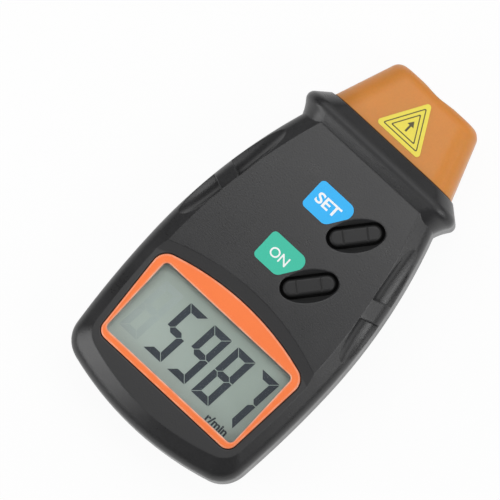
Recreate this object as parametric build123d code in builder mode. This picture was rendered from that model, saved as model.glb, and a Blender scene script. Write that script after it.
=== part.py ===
"""Hand-held digital tachometer that lies on its back, with its optical nose towards +Y.

Sizes are in millimetres. The origin is at the middle of the footprint, +Z is up out of the face and
+X is to the right when the face is read with the nose away from the reader. Distances along the
length are counted from the bottom end, which is the end away from the nose.
"""
import os
from math import cos, radians, sin, sqrt

from build123d import *

os.makedirs("parts", exist_ok=True)

# Overall size and wall
body_length = 131.0
body_width = 69.6
ridge_height = 29.0
face_height = 27.0
parting_height = 13.0
wall = 2.0

# Plan of the case: the sides are two arcs that meet at the widest place, the end is one arc
widest_at = 46.0
upper_side_radius = 173.0
lower_side_radius = 312.0
end_rise = 5.5
end_corner_radius = 9.0
corner_shrink = 0.6
case_end_back = 8.2

# Slopes round the face and round the back, each as a drop and as how far it draws in
face_slope_drop = 4.0
face_slope_side = 6.1
face_slope_end = 7.6
face_slope_round = 5.0
back_slope_drop = 4.0
back_slope_side = 3.6
back_slope_end = 4.6
back_slope_round = 3.5
side_draft = 0.5
crease_share = 0.42

# Collar, its sections counted back from its front: root, foot, swelling, rounded ridge and wall
collar_root_back = 11.7
collar_root_inside = 0.9
collar_root_narrower = 0.7
collar_foot_back = 9.5
collar_foot_proud = 0.5
collar_foot_inside = 0.25
collar_swell_back = 7.3
collar_swell_share = 0.36
collar_ridge_back = 4.7
collar_flare = 2.75
collar_ridge_round = 2.3
ridge_cut_side = 1.0
ridge_cut_top = 0.52
collar_ridge_low = 0.05
collar_wall_thickness = 1.5
collar_rim = 0.9
collar_corner_radius = 8.0
collar_back_corner_radius = 6.0
collar_rib_thickness = 1.4
collar_rib_gap = 0.15
collar_rib_ledge = 1.6
collar_rib_opening_height = 20.0
saddle_inset = 3.0
saddle_margin = 2.0

# Field round the display, sunk below the face behind a slope with an arched edge
field_drop = 0.7
field_edge_top = 52.6
field_edge_sag = 4.6
field_edge_half_width = 26.0
field_slope_width = 3.6

# Display frame, pane and glass
bezel_bottom = 13.6
bezel_corner_at = 43.5
bezel_top = 48.3
bezel_side_in = 6.7
bezel_taper = 2.25
bezel_frame_side = 0.95
bezel_low_corner_radius = 3.2
bezel_high_corner_radius = 4.6
bezel_proud = 0.35
bezel_depth = 1.9
bezel_gap = 0.25
bezel_lip = 0.6
view_height = 26.2
view_corner_radius = 1.5
view_middle = 29.0
pane_margin = 0.75
pane_gap = 0.1
ledge_thickness = 1.1
ledge_step = 0.35
ledge_below_field = 0.2
glass_thickness = 1.4
glass_lap_side = 1.6
glass_lap_end = 1.6
glass_gap = 0.1
glass_corner_radius = 0.6
bezel_edge_round = 0.3
holder_wall = 1.2
holder_corner_radius = 3.5
strip_width = 2.4
strip_inset = 0.4

# Keys and their switches
key_x = 10.2
upper_key_share = 0.6875
lower_key_share = 0.262
key_angle = 50.0
key_length = 15.5
key_width = 5.0
key_gap = 0.85
key_dome = 0.9
key_below_face = 0.1
key_groove_at = 3.6
key_groove_radius = 0.35
key_flange_margin = 1.5
key_flange_thickness = 0.9
key_flange_gap = 0.2
key_travel = 0.6
dish_length = 17.6
dish_width = 9.8
dish_depth = 1.3
dish_slope_end = 0.9
dish_slope_side = 1.3
dish_aside = 0.3
switch_size = 6.0
switch_clearance = 0.4
switch_corner_radius = 0.5
plunger_radius = 1.75
plunger_depth = 0.6
plunger_gap = 0.1

# Grips: a channel above and one below a slanted bridge, each swinging out of the side to a point
scoop_radius = 5.0
scoop_wall = 1.2
scoop_side_in = 1.05
scoop_below_face = 0.25
scoop_swing = 2.3
scoop_swing_angle = 45.0
bridge_low_below_keys = 5.6
bridge_length = 6.3
bridge_skew = 22.0
scoop_collar_gap = 5.7
scoop_field_gap = 3.2

# Colour fields beside the keys and the triangle on the nose
upper_pad_left = -7.7
lower_pad_left = -8.0
pad_width = 13.3
pad_low_width = 9.2
pad_height = 9.7
pad_shoulder = 1.3
pad_left_radius = 1.4
pad_right_radius = 2.5
pad_thickness = 0.15
upper_pad_over_key = 0.9
lower_pad_over_key = 0.45
label_gap = 2.25
label_end_gap = 2.8
label_half_width = 8.65
label_corner_radius = 1.0

# Nose
nose_length = 20.3
nose_base_side_in = 2.85
nose_end_half_width = 15.6
nose_base_low = 1.6
nose_base_high = 25.5
nose_end_low = 3.6
nose_end_high = 22.4
nose_base_corner = 8.0
nose_end_corner = 7.2
nose_end_round = 3.6
nose_gap = 0.2
nose_wall = 2.2
nose_flange_margin = 0.45
nose_flange_thickness = 1.4
nose_tab_height = 14.0
nose_hollow_end = 3.5
bore_radius = 8.1
bore_wall = 1.8
mouth_round = 1.2
axis_height = 13.0

# Optics
tube_gap = 0.15
tube_wall = 1.1
tube_front_inset = 5.5
tube_length = 28.5
lens_seat_inset = 13.5
lens_seat_step = 0.8
lens_edge = 2.0
lens_bulge = 0.9
lens_arc_share = 0.75
lens_gap = 0.1
ring_width = 1.1
ring_thickness = 1.2
ring_gap = 0.3
laser_gap = 0.05
laser_length = 6.5
laser_top_below_axis = 3.4
laser_left = -0.3
laser_right = 5.0
laser_window_radius = 0.8

# Battery and its bay
battery_length = 48.5
battery_width = 26.5
battery_height = 17.5
battery_corner = 2.0
battery_low_side = 16.5
battery_left = -25.8
battery_gap = 0.35
bay_wall = 1.2
cover_thickness = 1.8
cover_gap = 0.15
cover_half_width = 27.0
cover_tongue = 1.2
cover_lip = 0.75
cover_top_at = 47.0
bay_floor = 1.3
bay_floor_margin = 1.4
bay_floor_over_cover = 2.8
bay_wall_over_battery = 0.2
bay_sill = 1.2
end_reach = 3.0
cover_ridge_at = 12.0
cover_ridge_pitch = 2.2
cover_ridge_count = 5
cover_ridge_length = 22.0
cover_ridge_depth = 0.5
terminal_spacing = 12.7
small_terminal_radius = 2.9
large_terminal_radius = 4.2
terminal_height = 3.0
snap_thickness = 2.6
snap_height = 10.4
lead_radius = 0.6
lead_bend = 0.9
lead_spacing = 11.0
lead_side_step = 1.6
foam_length = 34.0
foam_width = 16.0

# Boards
board_gap_over_battery = 0.5
board_thickness = 1.2
board_low_at = 11.0
board_step_at = 49.5
board_tongue_length = 6.4
board_corner_radius = 4.5
board_side_gap = 5.5
board_middle_inset = 14.2
board_post_gap = 2.05
board_shape_overlap = 1.0
sensor_board_width = 18.0
sensor_board_thickness = 1.2
sensor_board_gap = 0.1
sensor_tube_gap = 0.3
photodiode_radius = 2.5
photodiode_length = 4.5
photodiode_dome = 2.25
processor_size = 12.0
processor_thickness = 1.6
processor_place = (2.0, 72.0)
crystal_length = 10.8
crystal_width = 4.4
crystal_height = 3.5
crystal_place = (2.0, 59.0)
capacitor_radius = 3.1
capacitor_height = 8.0
capacitor_places = ((-13.5, 58.0), (-13.5, 67.0))
resistor_size = (2.0, 1.25, 0.5)
resistor_middle = (14.5, 62.0)
resistor_pitch = (4.0, 3.0)
resistor_columns = 2
resistor_rows = 5

# Fasteners
post_radius = 4.1
boss_radius = 2.8
post_foot_height = 1.0
post_sink = 0.5
case_screw_inset = (9.0, 8.2)
lower_case_screw_at = 54.6
upper_case_screw_back = 7.7
case_screw_hole = 1.5
case_screw_head = 2.5
case_screw_head_height = 1.6
case_screw_length = 10.0
case_screw_sink = 8.5
head_gap = 0.4
pilot_radius = 1.1
thread_gap = 0.05
board_screw_inset = (8.6, 14.6)
lower_board_screw_at = 47.3
upper_board_screw_over_keys = 2.4
board_screw_radius = 0.9
board_screw_head = 1.7
board_screw_head_height = 1.1
board_screw_length = 3.6
standoff_radius = 2.2
slot_length_share = 1.2
slot_width_share = 0.25
slot_depth_share = 0.5

# Reach of a cutting tool past what it cuts, and how near counts as the same place
cut_over = 1.0
same_place = 0.01

# Heights and places that follow from the sizes above
half_length = body_length / 2
half_width = body_width / 2
bezel_half_width_high = half_width - bezel_side_in
bezel_half_width_low = bezel_half_width_high - bezel_taper
slope_middle = (face_slope_side + side_draft) / 2
view_width = 2 * (bezel_half_width_low - bezel_frame_side)
glass_width = view_width + 2 * glass_lap_side
glass_height = view_height + 2 * glass_lap_end
inner_top = face_height - wall
field_height = face_height - field_drop
bezel_high = field_height + bezel_proud
bezel_low = bezel_high - bezel_depth
pane_high = bezel_high - bezel_lip
ledge_high = bezel_low - pane_gap
ledge_low = ledge_high - ledge_thickness
glass_high = ledge_low - glass_gap
glass_low = glass_high - glass_thickness
battery_low = cover_thickness + cover_gap
battery_high = battery_low + battery_height
board_low = battery_high + board_gap_over_battery
board_high = board_low + board_thickness
key_flange_high = inner_top - key_flange_gap
key_flange_low = key_flange_high - key_flange_thickness
switch_high = key_flange_low - key_travel - switch_clearance
key_high = face_height - key_below_face
tube_radius = bore_radius - tube_gap
tube_bore = tube_radius - tube_wall
collar_end_at = body_length - nose_length
collar_wall_at = collar_end_at - collar_wall_thickness
collar_ridge_at = collar_end_at - collar_ridge_back
collar_swell_at = collar_end_at - collar_swell_back
collar_foot_at = collar_end_at - collar_foot_back
collar_root_at = collar_end_at - collar_root_back
case_top_at = collar_end_at - case_end_back
nose_back_at = collar_wall_at - nose_gap - nose_flange_thickness
key_zone = collar_root_at - field_edge_top
lower_key_at = field_edge_top + lower_key_share * key_zone
upper_key_at = field_edge_top + upper_key_share * key_zone
keys_middle_at = (lower_key_at + upper_key_at) / 2
bridge_low_at = keys_middle_at - bridge_low_below_keys
bridge_high_at = bridge_low_at + bridge_length
upper_scoop_length = collar_root_at - scoop_collar_gap - bridge_high_at
lower_scoop_length = bridge_low_at - scoop_field_gap - field_edge_top
tube_front_at = body_length - tube_front_inset
tube_back_at = tube_front_at - tube_length
lens_seat_at = tube_front_at - lens_seat_inset
sensor_front_at = tube_back_at - sensor_tube_gap
board_end_at = sensor_front_at - sensor_board_thickness - sensor_board_gap
board_shoulder_at = board_end_at - board_tongue_length
case_screw_at = (lower_case_screw_at, case_top_at - upper_case_screw_back)
board_screw_at = (lower_board_screw_at, keys_middle_at + upper_board_screw_over_keys)


def level(height):
    """Plane parallel to the face at this height, with its origin over the bottom end."""
    return Plane((0, -half_length, height))


def station(distance):
    """Plane across the length at this distance from the bottom end, with its normal to the nose."""
    return Plane((0, distance - half_length, 0), x_dir=(-1, 0, 0), z_dir=(0, 1, 0))


def side_x(distance, draw_in):
    """Half width of the plan at this distance from the bottom end."""
    radius = upper_side_radius if distance > widest_at else lower_side_radius
    return half_width - draw_in - radius + sqrt(radius**2 - (distance - widest_at) ** 2)


nose_base_half_width = side_x(collar_foot_at, 0) - nose_base_side_in
collar_ridge_half_width = side_x(collar_foot_at, 0) + collar_flare


def case_plan(height, side_in, end_in):
    """Plan of the case at one height, drawn in at its sides and at its bottom end."""
    corner = end_in + end_rise
    low_middle = (corner + widest_at) / 2
    high_middle = (widest_at + case_top_at) / 2
    with BuildSketch(level(height)) as plan:
        with BuildLine():
            ThreePointArc((-side_x(corner, side_in), corner), (0, end_in), (side_x(corner, side_in), corner))
            for hand in (1, -1):
                ThreePointArc(
                    (hand * side_x(corner, side_in), corner),
                    (hand * side_x(low_middle, side_in), low_middle),
                    (hand * side_x(widest_at, side_in), widest_at),
                )
                ThreePointArc(
                    (hand * side_x(widest_at, side_in), widest_at),
                    (hand * side_x(high_middle, side_in), high_middle),
                    (hand * side_x(case_top_at, side_in), case_top_at),
                )
            Line((-side_x(case_top_at, side_in), case_top_at), (side_x(case_top_at, side_in), case_top_at))
        make_face()
        corners = plan.vertices().filter_by(lambda v: abs(v.Y - corner) < same_place)
        fillet(corners, end_corner_radius - min(side_in, end_corner_radius / 2) * corner_shrink)
    return plan.sketch


def rounded_section(distance, half_across, low, high, high_corner, low_corner):
    """Cross-section with round corners, larger ones above than below."""
    with BuildSketch(station(distance)) as section:
        with Locations((0, (low + high) / 2)):
            Rectangle(2 * half_across, high - low)
        fillet(section.vertices().group_by(Axis.Y)[-1], high_corner)
        fillet(section.vertices().group_by(Axis.Y)[0], low_corner)
    return section.sketch


def blend(low, high, share):
    """Value at this share of the way from low to high."""
    return low + (high - low) * share


def collar_section(distance, half_across, low, high, inset):
    """Cross-section of the collar, drawn in by inset."""
    return rounded_section(
        distance,
        half_across - inset,
        low + inset,
        high - inset,
        collar_corner_radius - inset / 2,
        collar_back_corner_radius - inset / 2,
    )


def collar_form(inset):
    """The collar: it swells out of the case in a hollow curve and falls straight to its rim."""
    foot = (
        side_x(collar_foot_at, 0) + collar_foot_proud,
        collar_root_inside,
        face_height - collar_foot_inside,
    )
    ridge = (collar_ridge_half_width + ridge_cut_side, collar_ridge_low, ridge_height + ridge_cut_top)
    rim = (
        nose_base_half_width + nose_gap + collar_rim,
        nose_base_low - nose_gap - collar_rim,
        nose_base_high + nose_gap + collar_rim,
    )
    swell = [blend(start, end, collar_swell_share) for start, end in zip(foot, ridge)]
    root = (foot[0] - collar_root_narrower, collar_root_inside, face_height - collar_root_inside)
    front_at = collar_end_at if inset < wall else collar_wall_at
    front_share = (front_at - collar_ridge_at) / (collar_end_at - collar_ridge_at)
    front = [blend(start, end, front_share) for start, end in zip(ridge, rim)]
    with BuildPart() as collar:
        add(loft([
            collar_section(collar_root_at, *root, inset),
            collar_section(collar_foot_at, *foot, inset),
            collar_section(collar_swell_at, *swell, inset),
            collar_section(collar_ridge_at, *ridge, inset),
        ], mode=Mode.PRIVATE))
        add(loft([
            collar_section(collar_ridge_at, *ridge, inset),
            collar_section(front_at, *front, inset),
        ], ruled=True, mode=Mode.PRIVATE))
        if not inset:
            at_ridge = collar.edges().filter_by_position(
                Axis.Y, collar_ridge_at - half_length, collar_ridge_at - half_length)
            fillet(at_ridge, collar_ridge_round)
    return collar.part


def case_form(inset):
    """The closed case without its openings, each wall drawn in by inset."""
    levels = (
        (inset, back_slope_side + inset * crease_share, back_slope_end + inset * crease_share),
        (back_slope_drop + inset / 2, side_draft + inset, side_draft + inset),
        (parting_height, inset, inset),
        (face_height - face_slope_drop - inset / 2, side_draft + inset, side_draft + inset),
        (face_height - inset, face_slope_side + inset * crease_share, face_slope_end + inset * crease_share),
    )
    with BuildPart() as form:
        add(loft([case_plan(*level_sizes) for level_sizes in levels], ruled=True))
        if not inset:
            for height, radius in (
                (face_height - face_slope_drop, face_slope_round),
                (back_slope_drop, back_slope_round),
            ):
                rim = form.edges().filter_by_position(Axis.Z, height, height)
                fillet(rim.filter_by(lambda e: e.bounding_box().size.Y > same_place), radius)
        add(collar_form(inset))
    return form.part


def nose_section(distance, margin):
    """Cross-section of the nose, which tapers in front of the collar, grown by a margin."""
    share = max(0, distance - collar_end_at) / (body_length - collar_end_at)
    return rounded_section(
        distance,
        blend(nose_base_half_width, nose_end_half_width, share) + margin,
        blend(nose_base_low, nose_end_low, share) - margin,
        blend(nose_base_high, nose_end_high, share) + margin,
        blend(nose_base_corner, nose_end_corner, share) + margin,
        blend(nose_base_corner, nose_end_corner, share) + margin,
    )


def bezel_outline(height, margin):
    """Outline of the display frame, grown by a margin."""
    with BuildSketch(level(height)) as outline:
        with BuildLine():
            low = (bezel_half_width_low, bezel_bottom)
            high = (bezel_half_width_high, bezel_corner_at)
            Polyline((-high[0], high[1]), (-low[0], low[1]), low, high)
            ThreePointArc(high, (0, bezel_top), (-high[0], high[1]))
        make_face()
        fillet(outline.vertices().group_by(Axis.Y)[0], bezel_low_corner_radius)
        fillet(outline.vertices().group_by(Axis.Y)[-1], bezel_high_corner_radius)
        if margin:
            offset(amount=margin)
    return outline.sketch


def view_outline(height, margin, corner):
    """Outline of the display opening, grown by a margin."""
    with BuildSketch(level(height)) as outline:
        with Locations((0, view_middle)):
            RectangleRounded(view_width + 2 * margin, view_height + 2 * margin, corner)
    return outline.sketch


def glass_block(low, high, margin, corner):
    """Upright block over the outline of the display glass, grown by a margin."""
    with BuildPart() as block:
        with BuildSketch(level(low)):
            with Locations((0, view_middle)):
                RectangleRounded(glass_width + 2 * margin, glass_height + 2 * margin, corner)
        extrude(amount=high - low)
    return block.part


def key_outline(height, key_at, margin):
    """Outline of a slanted key, grown by a margin."""
    with BuildSketch(level(height)) as outline:
        with Locations(Location((key_x, key_at, 0), (0, 0, key_angle))):
            SlotOverall(key_length + 2 * margin, key_width + 2 * margin)
    return outline.sketch


def four_places(insets, distances):
    """The four places of two mirrored pairs, each at its inset from the sides and its distance."""
    return [(hand * (side_x(y, 0) - inset), y) for inset, y in zip(insets, distances) for hand in (1, -1)]


case_outside = case_form(0)

# Tool: the field round the display with its arched sloping edge
with BuildPart() as field:
    arch_radius = (field_edge_half_width**2 + field_edge_sag**2) / (2 * field_edge_sag)
    reach = half_width + end_reach
    reach_sag = arch_radius - sqrt(arch_radius**2 - reach**2)
    for step in (0, 2):
        top = field_edge_top - field_slope_width * (1 - step)
        with BuildSketch(level(field_height + field_drop * step)):
            with BuildLine():
                ThreePointArc((reach, top - reach_sag), (0, top), (-reach, top - reach_sag))
                Polyline((-reach, top - reach_sag), (-reach, -wall), (reach, -wall), (reach, top - reach_sag))
            make_face()
    loft(ruled=True)


def scoop_middle(start, length, share):
    """Middle of a scoop's round section at this share of its length; it swings out of the side."""
    swing = scoop_swing * share**2
    distance = start + length * share
    return Vector(
        side_x(distance, scoop_side_in) + swing * cos(radians(scoop_swing_angle)),
        distance - half_length,
        face_height - scoop_below_face + swing * sin(radians(scoop_swing_angle)),
    )


def scoop(start, length, margin):
    """Round channel that starts at the slanted side of the bridge, grown by a margin."""
    before = -scoop_radius / abs(length)
    hand = 1 if length > 0 else -1
    bridge_side = Plane(
        origin=(side_x(start, slope_middle), start - half_length - hand * margin, 0),
        z_dir=(-hand * sin(radians(bridge_skew)), hand * cos(radians(bridge_skew)), 0),
    )
    with BuildPart() as channel:
        with BuildLine() as path:
            ThreePointArc(*[scoop_middle(start, length, share) for share in (before, (1 + before) / 2, 1)])
        with BuildSketch(Plane(origin=path.line @ 0, z_dir=path.line % 0)):
            Circle(scoop_radius + margin)
        sweep()
        split(bisect_by=bridge_side, keep=Keep.TOP)
    return channel.part


def scoops(margin):
    """The channels of both sides, grown by a margin."""
    with BuildPart() as channels:
        add(scoop(bridge_high_at, upper_scoop_length, margin))
        add(scoop(bridge_low_at, -lower_scoop_length, margin))
        mirror(about=Plane.YZ)
    return channels.part


# Tool: the opening for the nose through the front wall of the collar
with BuildPart() as nose_opening:
    extrude(nose_section(collar_wall_at - wall, nose_gap), amount=collar_end_at - collar_wall_at + 2 * wall)

# Tool: the ring of ribs that stops the nose from behind, and the saddles that carry the lens tube
with BuildPart() as ribs:
    with BuildSketch(station(nose_back_at - collar_rib_gap - collar_rib_thickness)):
        with Locations((0, axis_height)):
            Rectangle(body_width, 2 * ridge_height)
            Rectangle(
                2 * (nose_base_half_width - collar_rib_ledge),
                collar_rib_opening_height,
                mode=Mode.SUBTRACT,
            )
    extrude(amount=collar_rib_thickness)
    with BuildSketch(station(tube_back_at + saddle_inset)):
        with Locations((0, axis_height)):
            Rectangle(2 * (tube_radius + saddle_margin), 2 * ridge_height)
            Circle(tube_radius + tube_gap, mode=Mode.SUBTRACT)
    extrude(amount=collar_rib_thickness)
    add(case_form(wall / 2), mode=Mode.INTERSECT)


def block_on(outline, height):
    """Upright block over an outline."""
    return extrude(outline, amount=height, mode=Mode.PRIVATE)


def round_posts(low, high, radius, places):
    """Upright cylinders at several places."""
    with BuildPart() as posts:
        with BuildSketch(level(low)):
            with Locations(places):
                Circle(radius)
        extrude(amount=high - low)
    return posts.part


case_screw_places = four_places(case_screw_inset, case_screw_at)
board_screw_places = four_places(board_screw_inset, board_screw_at)


def key_dish(key_at):
    """Shallow oval dish round a key."""
    ovals = []
    for rise in (-1, 1):
        with BuildSketch(level(face_height + rise * dish_depth)) as oval:
            with Locations(Location((key_x + dish_aside, key_at, 0), (0, 0, key_angle))):
                Ellipse(dish_length / 2 + rise * dish_slope_end, dish_width / 2 + rise * dish_slope_side)
        ovals.append(oval.sketch)
    return loft(ovals, ruled=True, mode=Mode.PRIVATE)


# Tool: the room inside the case, which keeps clear of the grips
with BuildPart() as cavity:
    add(case_form(wall))
    add(scoops(scoop_wall), mode=Mode.SUBTRACT)

# Upper half of the case
with BuildPart() as front_cover:
    add(case_outside)
    split(bisect_by=Plane.XY.offset(parting_height), keep=Keep.TOP)
    add(scoops(0), mode=Mode.SUBTRACT)
    add(field.part, mode=Mode.SUBTRACT)
    add(cavity.part, mode=Mode.SUBTRACT)
    add(block_on(bezel_outline(ledge_low, holder_wall), field_height - ledge_low - ledge_below_field))
    add(block_on(bezel_outline(ledge_high, bezel_gap), ridge_height), mode=Mode.SUBTRACT)
    add(
        block_on(view_outline(ledge_low - wall, ledge_step, view_corner_radius), ridge_height),
        mode=Mode.SUBTRACT,
    )
    add(split(ribs.part, bisect_by=Plane.XY.offset(parting_height), keep=Keep.TOP, mode=Mode.PRIVATE))
    add(nose_opening.part, mode=Mode.SUBTRACT)
    add(round_posts(parting_height, inner_top + post_sink, boss_radius, case_screw_places))
    add(round_posts(0, inner_top - wall, pilot_radius, case_screw_places), mode=Mode.SUBTRACT)
    add(round_posts(board_high, inner_top + post_sink, standoff_radius, board_screw_places))
    add(
        round_posts(0, board_low + board_screw_length, board_screw_radius, board_screw_places),
        mode=Mode.SUBTRACT,
    )
    for key_at in (upper_key_at, lower_key_at):
        add(key_dish(key_at), mode=Mode.SUBTRACT)
        add(block_on(key_outline(inner_top - wall, key_at, key_gap), ridge_height), mode=Mode.SUBTRACT)
front_cover.part.label = "front_cover"
export_step(front_cover.part, "parts/front_cover.step")

# Sliding battery cover: a plate with a tongue on each side, cut from the form of the back
with BuildPart() as battery_cover:
    with BuildSketch(level(0)):
        with Locations((0, (cover_top_at - end_reach) / 2)):
            Rectangle(2 * cover_half_width, cover_top_at + end_reach)
    extrude(amount=cover_thickness)
    with BuildSketch(level(cover_lip + cover_gap)):
        with Locations((0, (cover_top_at - end_reach) / 2)):
            Rectangle(2 * (cover_half_width + cover_tongue), cover_top_at + end_reach)
    extrude(amount=cover_thickness - cover_lip - cover_gap)
    add(case_outside, mode=Mode.INTERSECT)
    with BuildSketch(level(0)):
        with Locations((0, cover_ridge_at)):
            with GridLocations(0, cover_ridge_pitch, 1, cover_ridge_count):
                SlotOverall(cover_ridge_length, cover_ridge_pitch / 2)
    extrude(amount=cover_ridge_depth, mode=Mode.SUBTRACT)
battery_cover.part.label = "battery_cover"
export_step(battery_cover.part, "parts/battery_cover.step")

# Lower half of the case with the battery bay and the screw posts
battery_right = battery_left + battery_length
battery_high_side = battery_low_side + battery_width
bay_middle = ((battery_left + battery_right) / 2, (battery_low_side + battery_high_side) / 2)
with BuildPart() as bay:
    with BuildSketch(level(wall / 2)):
        with Locations((0, (cover_top_at + bay_floor_over_cover - end_reach) / 2)):
            Rectangle(
                2 * (cover_half_width + cover_tongue + bay_floor_margin),
                cover_top_at + bay_floor_over_cover + end_reach,
            )
    extrude(amount=battery_low + bay_floor - wall / 2)
    with BuildSketch(level(battery_low)):
        with Locations(bay_middle):
            Rectangle(
                battery_length + 2 * (battery_gap + bay_wall),
                battery_width + 2 * (battery_gap + bay_wall),
            )
    extrude(amount=battery_height + bay_wall_over_battery)
    add(case_form(wall / 2), mode=Mode.INTERSECT)
with BuildPart() as rear_cover:
    add(case_outside)
    split(bisect_by=Plane.XY.offset(parting_height), keep=Keep.BOTTOM)
    add(cavity.part, mode=Mode.SUBTRACT)
    add(bay.part)
    add(split(ribs.part, bisect_by=Plane.XY.offset(parting_height), keep=Keep.BOTTOM, mode=Mode.PRIVATE))
    add(nose_opening.part, mode=Mode.SUBTRACT)
    add(round_posts(post_foot_height, parting_height, post_radius, case_screw_places))
    add(
        round_posts(-wall, case_screw_sink, case_screw_head + head_gap, case_screw_places),
        mode=Mode.SUBTRACT,
    )
    add(round_posts(0, ridge_height, case_screw_hole, case_screw_places), mode=Mode.SUBTRACT)
    with BuildSketch(level(-wall)):
        with Locations((0, (cover_top_at - end_reach) / 2)):
            Rectangle(2 * (cover_half_width + cover_gap), cover_top_at + 2 * cover_gap + end_reach)
    extrude(amount=wall + battery_low, mode=Mode.SUBTRACT)
    with BuildSketch(level(cover_lip)):
        with Locations((0, (cover_top_at - end_reach) / 2)):
            Rectangle(
                2 * (cover_half_width + cover_tongue + cover_gap),
                cover_top_at + 2 * cover_gap + end_reach,
            )
    extrude(amount=battery_low - cover_lip, mode=Mode.SUBTRACT)
    with BuildSketch(level(0)):
        with Locations(bay_middle):
            Rectangle(battery_length + 2 * battery_gap, battery_width + 2 * battery_gap)
    extrude(amount=ridge_height, mode=Mode.SUBTRACT)
    with BuildSketch(level(battery_low + bay_floor + bay_sill)):
        with Locations((battery_right + battery_gap + bay_wall / 2, bay_middle[1])):
            Rectangle(bay_wall + 2 * cut_over, battery_width - 2 * bay_wall)
    extrude(amount=ridge_height, mode=Mode.SUBTRACT)
rear_cover.part.label = "rear_cover"
export_step(rear_cover.part, "parts/rear_cover.step")

# Translucent nose: a tapered box, hollow beside the bore, with tabs behind the wall of the collar
with BuildPart() as optical_nose:
    add(loft([nose_section(collar_end_at, 0), nose_section(body_length, 0)], ruled=True, mode=Mode.PRIVATE))
    fillet(optical_nose.faces().sort_by(Axis.Y)[-1].edges(), nose_end_round)
    extrude(nose_section(nose_back_at, -nose_gap), amount=collar_end_at - nose_back_at)
    with BuildSketch(station(nose_back_at)):
        with Locations((0, axis_height)):
            Rectangle(2 * (nose_base_half_width + nose_flange_margin), nose_tab_height)
    extrude(amount=nose_flange_thickness)
    with BuildPart(mode=Mode.PRIVATE) as hollow:
        hollow_ends = (nose_back_at - cut_over, body_length - nose_hollow_end)
        add(loft([nose_section(y, -nose_wall) for y in hollow_ends], ruled=True, mode=Mode.PRIVATE))
        with BuildSketch(station(nose_back_at - 2 * cut_over)):
            with Locations((0, axis_height)):
                Circle(bore_radius + bore_wall)
        extrude(amount=body_length, mode=Mode.SUBTRACT)
    add(hollow.part, mode=Mode.SUBTRACT)
    with BuildSketch(station(nose_back_at - cut_over)):
        with Locations((0, axis_height)):
            Circle(bore_radius)
    extrude(amount=body_length, mode=Mode.SUBTRACT)
    with BuildSketch(Plane((0, body_length - half_length, axis_height), x_dir=(1, 0, 0), z_dir=(0, 0, 1))):
        with BuildLine():
            Line((0, -mouth_round), (bore_radius, -mouth_round))
            RadiusArc((bore_radius, -mouth_round), (bore_radius + mouth_round, 0), mouth_round)
            outside = bore_radius + mouth_round
            Polyline((outside, 0), (outside, cut_over), (0, cut_over), (0, -mouth_round))
        make_face()
    revolve(axis=Axis((0, 0, axis_height), (0, 1, 0)), mode=Mode.SUBTRACT)
optical_nose.part.label = "optical_nose"
export_step(optical_nose.part, "parts/optical_nose.step")

# Display frame with the seat of its pane
with BuildPart() as display_bezel:
    add(block_on(bezel_outline(bezel_low, 0), bezel_depth))
    fillet(display_bezel.faces().sort_by(Axis.Z)[-1].edges(), bezel_edge_round)
    add(block_on(view_outline(bezel_low, 0, view_corner_radius), bezel_depth), mode=Mode.SUBTRACT)
    pane_seat = view_outline(bezel_low, pane_margin + pane_gap, view_corner_radius)
    add(block_on(pane_seat, bezel_depth - bezel_lip), mode=Mode.SUBTRACT)
display_bezel.part.label = "display_bezel"
export_step(display_bezel.part, "parts/display_bezel.step")

# Clear pane
with BuildPart() as display_window:
    add(block_on(view_outline(ledge_high + pane_gap / 2, pane_margin, view_corner_radius),
                 pane_high - ledge_high - pane_gap))
display_window.part.label = "display_window"
export_step(display_window.part, "parts/display_window.step")

# Display glass, its holder and its two contact strips
with BuildPart() as lcd_panel:
    add(glass_block(glass_low, glass_high, 0, glass_corner_radius))
lcd_panel.part.label = "lcd_panel"
export_step(lcd_panel.part, "parts/lcd_panel.step")

with BuildPart() as lcd_frame:
    add(glass_block(board_high, glass_high, glass_gap + holder_wall, holder_corner_radius))
    add(glass_block(board_high, glass_high, glass_gap, glass_corner_radius), mode=Mode.SUBTRACT)
lcd_frame.part.label = "lcd_frame"
export_step(lcd_frame.part, "parts/lcd_frame.step")

with BuildPart() as contact_strips:
    with BuildSketch(level(board_high)):
        with Locations((0, view_middle)):
            with GridLocations(0, glass_height - strip_width - 2 * strip_inset, 1, 2):
                Rectangle(glass_width - 4 * strip_inset, strip_width)
    extrude(amount=glass_low - board_high)
contact_strips.part.label = "contact_strips"
export_step(contact_strips.part, "parts/contact_strips.step")

# Keys, the plungers under them and the switches
for name, key_at in (("mem", upper_key_at), ("test", lower_key_at)):
    with BuildPart() as key:
        add(block_on(key_outline(key_flange_low, key_at, key_flange_margin), key_flange_thickness))
        add(block_on(key_outline(key_flange_high, key_at, 0), key_high - key_flange_high))
        fillet(key.faces().sort_by(Axis.Z)[-1].edges(), key_dome)
        across = Location((key_x, key_at - half_length, key_high + key_groove_radius / 2), (0, 0, key_angle))
        with Locations(across):
            with GridLocations(2 * key_groove_at, 0, 2, 1):
                Cylinder(key_groove_radius, 2 * key_width, rotation=(90, 0, 0), mode=Mode.SUBTRACT)
    key.part.label = f"{name}_button"
    export_step(key.part, f"parts/{name}_button.step")

    plunger_low = switch_high - plunger_depth
    with BuildPart() as plunger:
        with BuildSketch(level(plunger_low)):
            with Locations((key_x, key_at)):
                Circle(plunger_radius)
        extrude(amount=key_flange_low - plunger_low)
    plunger.part.label = f"{name}_plunger"
    export_step(plunger.part, f"parts/{name}_plunger.step")

    with BuildPart() as switch:
        with BuildSketch(level(board_high)):
            with Locations((key_x, key_at)):
                RectangleRounded(switch_size, switch_size, switch_corner_radius)
        extrude(amount=switch_high - board_high)
        with BuildSketch(level(plunger_low - key_travel - plunger_gap)):
            with Locations((key_x, key_at)):
                Circle(plunger_radius + plunger_gap)
        extrude(amount=switch_high, mode=Mode.SUBTRACT)
    switch.part.label = f"{name}_switch"
    export_step(switch.part, f"parts/{name}_switch.step")

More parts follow.
